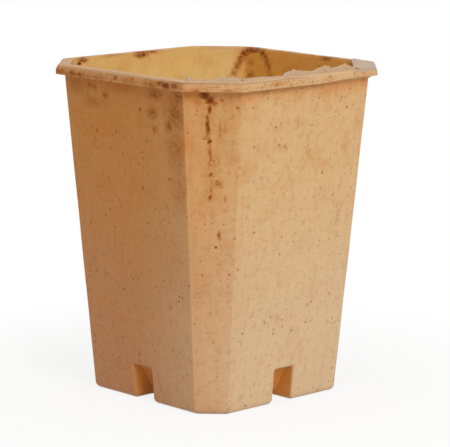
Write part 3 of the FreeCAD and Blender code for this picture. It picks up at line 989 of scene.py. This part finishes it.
def rim_marks(place, axes, colour):
    """Marks of the rim: its stains, the pale rubbed top, the grey skin on one corner and painted shade in the
    thin groove.
    """
    height = axes.also("Z")
    lip_only = fade(depth_inside(axes), 0.6 * mm, -0.4 * mm)
    colour = mixed(lip_only * 0.3, colour, lip_tan)
    shaded = fade(axes.also("Y"), -38.8 * mm, -39.6 * mm)
    mottled = fade(cloud(place, 2.2 * mm, 3.0), 0.46, 0.7) * lip_only
    colour = mixed(mottled * (shaded * 0.5 + 0.25), colour, stain_orange)
    lip_dots = specks(place, spacing=1.2 * mm, radius=0.55 * mm, share=0.75, soft=0.3 * mm) * lip_only
    colour = stain_marks(rim_spots)(place, axes, mixed(lip_dots * 0.7, colour, fibre_brown))
    rubbed = fade(height + cloud(place, 1.2 * mm, 3.0) * (0.8 * mm), 99.4 * mm, 100.1 * mm)
    far_left = fade(axes, -34 * mm, -36 * mm) * fade(axes.also("Y"), -30 * mm, -26 * mm)
    far_side = axes.math("MAXIMUM", at_back_wall(axes), far_left)
    dust = mixed(fade(towards_back_right(axes), -28 * mm, 12 * mm), rim_dust_left, rim_dust)
    colour = mixed(rubbed * (0.72 - far_side * 0.5), colour, dust)
    from_web = axes + axes.also("Y") + (cloud(place, 2.2 * mm, 3.0) - 0.5) * (2.4 * mm)
    colour = mixed(rubbed * fade(from_web, 56.5 * mm, 58.5 * mm) * 0.9, colour, corner_grey)
    # Painted shade: the thin groove round the front right corner is darkened
    bearing = axes.math("ARCTAN2", axes.also("Y"), axes)
    ends = [fade(bearing, *(math.radians(turn) for turn in turns)) for turns in (groove_start, groove_end)]
    groove = fade(height, 99.48 * mm, 99.58 * mm) * fade(height, 99.84 * mm, 99.74 * mm)
    groove *= fade(depth_inside(axes), -0.4 * mm, -1.0 * mm) * ends[0] * ends[1]
    return mixed(groove * 0.4, colour, groove_shade_brown)


collar = Skin()
collar.grid(collar_rings + collar_rings[:1], closed=True)
collar.piece("rim_collar_moulding", compound("fibre_bioplastic_rim", rim_marks), "rim_collar")


# Moulding flash: the thin skin of compound that was squeezed out between the mould's halves at the mouth.
# A ragged crust stands along the right side, a low sliver on the front right corner, and a flat web
# crosses the back right corner.
flash_height = 2.0
crust_step = 0.3
crust_lot = Vector((7.0, 3.0, 0.0))
# Length and size of the crust's changes in height, lumps and crumbs
crest_length, crest_change = 0.9, 0.1
lump_length, lump_depth = 1.6, 0.1
crumb_length, crumb_depth = 0.5, 0.05
rough_rise = 0.3
# A fixed seed keeps the lumps and crumbs the same each run
crust_seed = 3
noise.seed_set(crust_seed)
crust_section = [
    (0.0, -0.2), (-0.02, 0.3), (0.03, 0.62), (0.12, 0.88), (0.25, 1.0), (0.42, 0.97), (0.55, 0.8),
    (0.7, 0.55), (0.86, 0.32), (1.02, 0.12), (1.12, -0.2),
]
crust_tan = rgb(190, 155, 111)
crust_grey = rgb(173, 151, 133)
crust_pit = rgb(168, 118, 70)

flash_crust, crust_start, crust_place = new_material("flash_crust")
crumbs = cloud(crust_place, 0.8 * mm, 4.0)
crust_colour = mixed(fade(crumbs, 0.3, 0.5), crust_pit, crust_tan)
crust_colour = mixed(fade(cloud(crust_place, 1.7 * mm, 3.0), 0.44, 0.56) * 0.9, crust_colour, crust_grey)
crust_dots = specks(crust_place, spacing=1.6 * mm, radius=0.3 * mm, share=0.35, soft=0.2 * mm)
crust_colour = mixed(crust_dots * 0.5, crust_colour, fibre_brown)
crust_relief = {"Strength": 0.4, "Distance": 0.1 * mm, "Height": crumbs - crust_dots * 0.5}
crust_shine = {"Base Color": crust_colour, "Roughness": 0.5}
crust_shine["Normal"] = crust_start.node("Bump", {}, crust_relief)
crust_finish = crust_start.node("BsdfPrincipled", {}, crust_shine)
crust_start.node("OutputMaterial", {}, {"Surface": crust_finish})


def reading(shares, share):
    """Height share at a share of a crust's run, between the two nearest of those given."""
    for (low, low_height), (high, high_height) in zip(shares, shares[1:]):
        if share <= high:
            return low_height + (high_height - low_height) * (share - low) / (high - low)
    return shares[-1][1]


def crust(name, node, start, end, shares):
    """Ragged ridge along the mouth's edge from a start to an end, which both lie at the rim's top."""
    start, end = Vector((*start, pot_top)), Vector((*end, pot_top))
    along = (end - start).normalized()
    outward = Vector((along.y, -along.x, 0.0))
    made = Skin()
    rings = []
    stations = round((end - start).length / crust_step)
    for share in spread(0.0, 1.0, stations):
        base = start.lerp(end, share)
        uneven = 1 + crest_change * noise.noise(base / crest_length + crust_lot)
        tall = flash_height * reading(shares, share) * uneven
        ring = []
        for out, up in crust_section:
            rise = up * tall if up > 0 else up
            point = base + outward * out + Vector((0.0, 0.0, rise))
            rough = noise.noise_vector(point / crumb_length) * crumb_depth
            rough += noise.noise_vector(point / lump_length) * lump_depth
            ring.append(point + rough * min(1.0, max(rise, 0.0) / rough_rise))
        rings.append(ring)
    made.grid(rings, closed=True)
    made.face(rings[0])
    made.face(rings[-1])
    made.piece(name, flash_crust, node)


# Height of the crust as a share of flash_height, at shares of its run
right_crest = [
    (0.0, 0.3), (0.08, 0.36), (0.16, 0.3), (0.25, 0.18), (0.33, 0.16), (0.345, 0.5), (0.372, 0.76),
    (0.392, 0.6), (0.412, 0.93), (0.45, 0.68), (0.53, 0.44), (0.585, 0.42), (0.637, 0.78), (0.677, 0.98),
    (0.715, 0.8), (0.731, 0.46), (0.748, 0.66), (0.772, 0.54), (0.812, 0.76), (0.83, 0.82), (0.845, 1.0),
    (0.86, 0.8), (0.894, 0.5), (0.925, 0.2), (1.0, 0.15),
]
front_crest = [
    (0.0, 0.2), (0.02, 0.5), (0.035, 0.64), (0.06, 0.66), (0.08, 0.5), (0.1, 0.16), (0.3, 0.2),
    (0.48, 0.24), (0.58, 0.46), (0.75, 0.66), (0.9, 0.52), (1.0, 0.3),
]
mouth_turn = mouth_half - mouth_cut
right_ends = (mouth_half, -25.3), (mouth_half, 24.7)
crust("flash_right_crust", "flash_right", *right_ends, right_crest)
crust("flash_front_crust", "flash_front", (mouth_turn, -mouth_half), (mouth_half, -mouth_turn), front_crest)


def web_noise(flat, lot, length):
    """Noise at a place on the web."""
    return noise.noise(Vector((flat.x, flat.y, lot)) / length)


web_thickness = 0.45
web_lap = 2.5
web_reach = 4.2
web_start = mouth_turn - web_reach
web_steps = 48
web_parts = 6
lap = mouth_half + web_lap
slant = mouth_half + mouth_turn + web_lap * math.sqrt(2)
web = Skin()
web_sections = []
for share in spread(0.0, 1.0, web_steps):
    free = Vector((mouth_half, web_start)).lerp(Vector((web_start, mouth_half)), share)
    ragged = 0.06 * web_noise(free, lot=3.0, length=1.1) + 0.4 * web_noise(free, lot=8.0, length=3.4)
    free += Vector((1.0, 1.0)).normalized() * ragged
    resting = Vector((lap, web_start)).lerp(Vector((web_start, lap)), share)
    resting *= min(lap / max(resting.x, resting.y), slant / (resting.x + resting.y))
    top = []
    bottom = []
    for part in spread(0.0, 1.0, web_parts):
        flat = free.lerp(resting, part)
        wave = 0.1 * web_noise(flat, lot=0.0, length=1.8) * eased(1 - part, 0.0, 0.3)
        thick = web_thickness * (0.5 + 0.5 * eased(part, 0.0, 0.2)) * (1 - 0.9 * eased(part, 0.45, 1.0))
        low = -0.1 if part > 0.5 else 0.0
        top.append(Vector((flat.x, flat.y, pot_top + thick + wave)))
        bottom.append(Vector((flat.x, flat.y, pot_top + low)))
    web_sections.append(top + bottom[::-1])
web.grid(web_sections, closed=True)
web.face(web_sections[0])
web.face(web_sections[-1])
web.piece("flash_web_skin", flash_crust, "flash_web")
